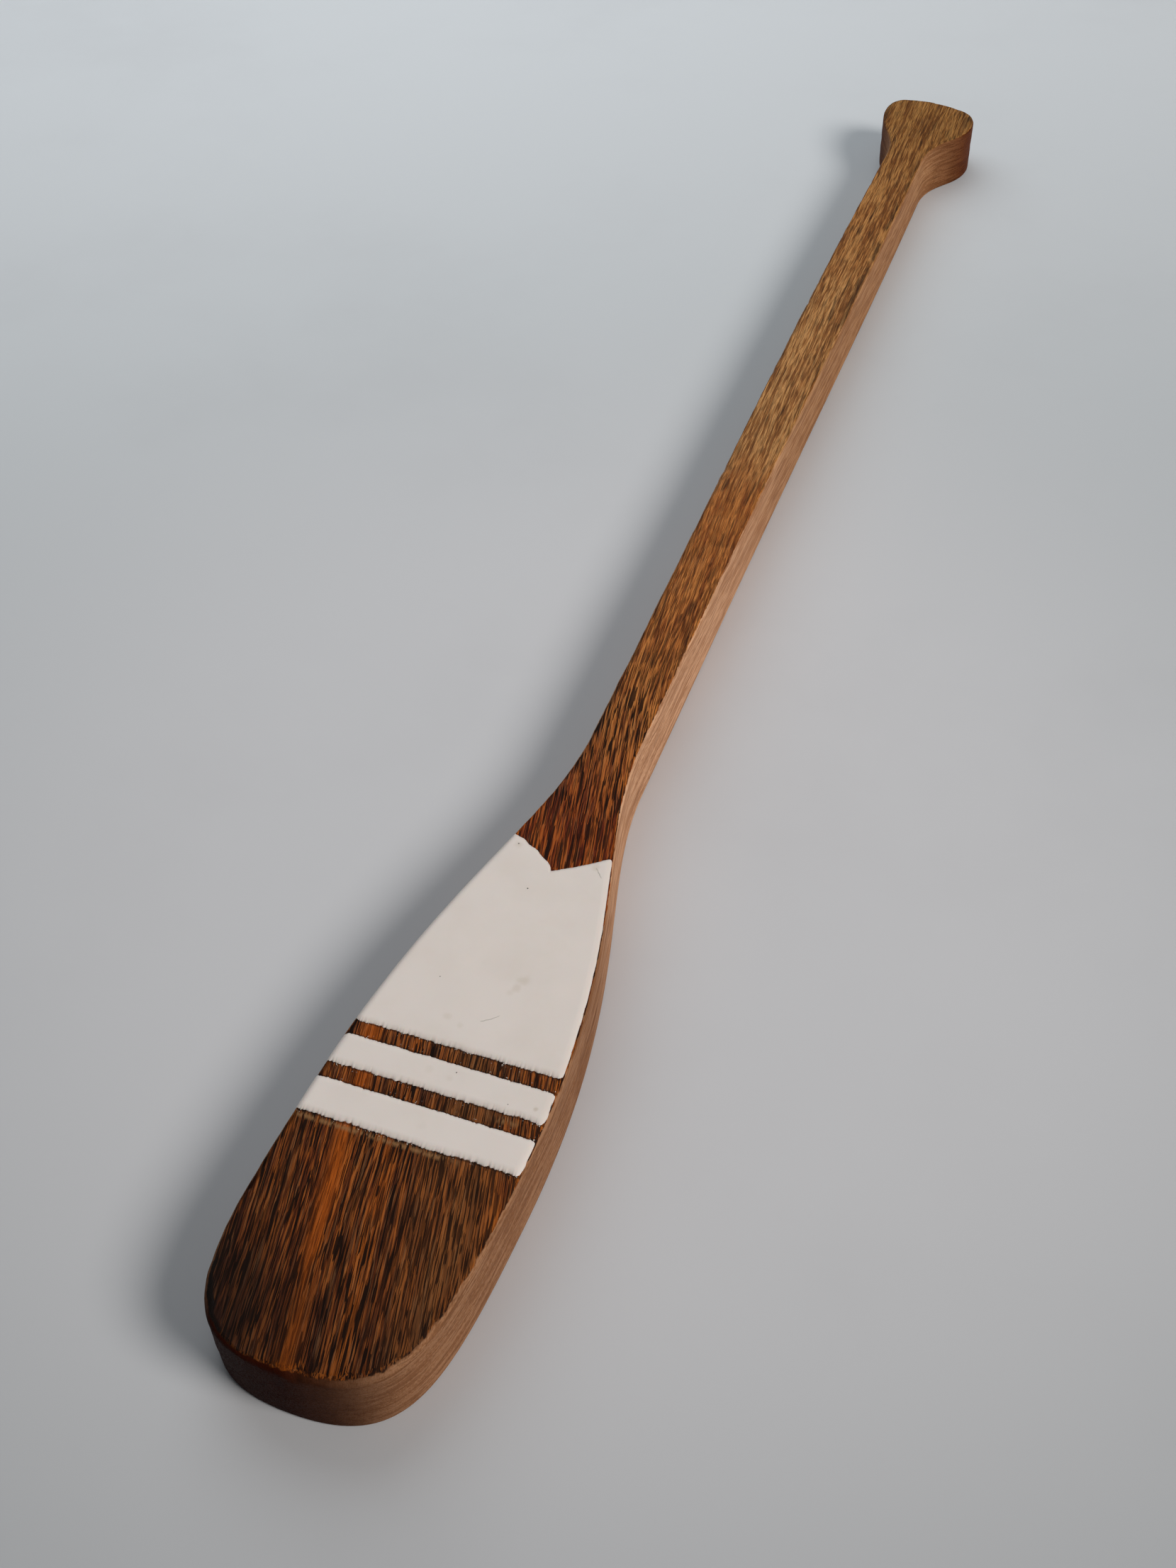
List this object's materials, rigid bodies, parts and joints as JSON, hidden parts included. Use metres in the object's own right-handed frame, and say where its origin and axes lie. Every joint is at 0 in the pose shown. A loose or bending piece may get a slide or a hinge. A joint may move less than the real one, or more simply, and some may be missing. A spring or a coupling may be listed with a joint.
{
  "type": "wooden paddle",
  "caption": "Slim one-piece wooden canoe-style paddle with a long round-tipped blade, a flared flat grip and inlaid white enamel fields across the blade face.",
  "frame": {"origin": "centre of the bounding box of the flat back, on the surface the paddle lies on", "axes": "+Y along the paddle from the blade's tip to the grip, +Z out of the enamelled face, +X across the blade"},
  "size_m": [0.0626, 0.679, 0.0225],
  "materials": {
    "wood": "oiled open-grained dark hardwood, sanded lighter on its sides",
    "enamel": "thick warm white enamel, satin"
  },
  "bodies": {
    "root": {"paddle_board": "wood", "enamel_panel": "enamel", "enamel_stripe_upper": "enamel", "enamel_stripe_lower": "enamel"}
  },
  "joints": []
}
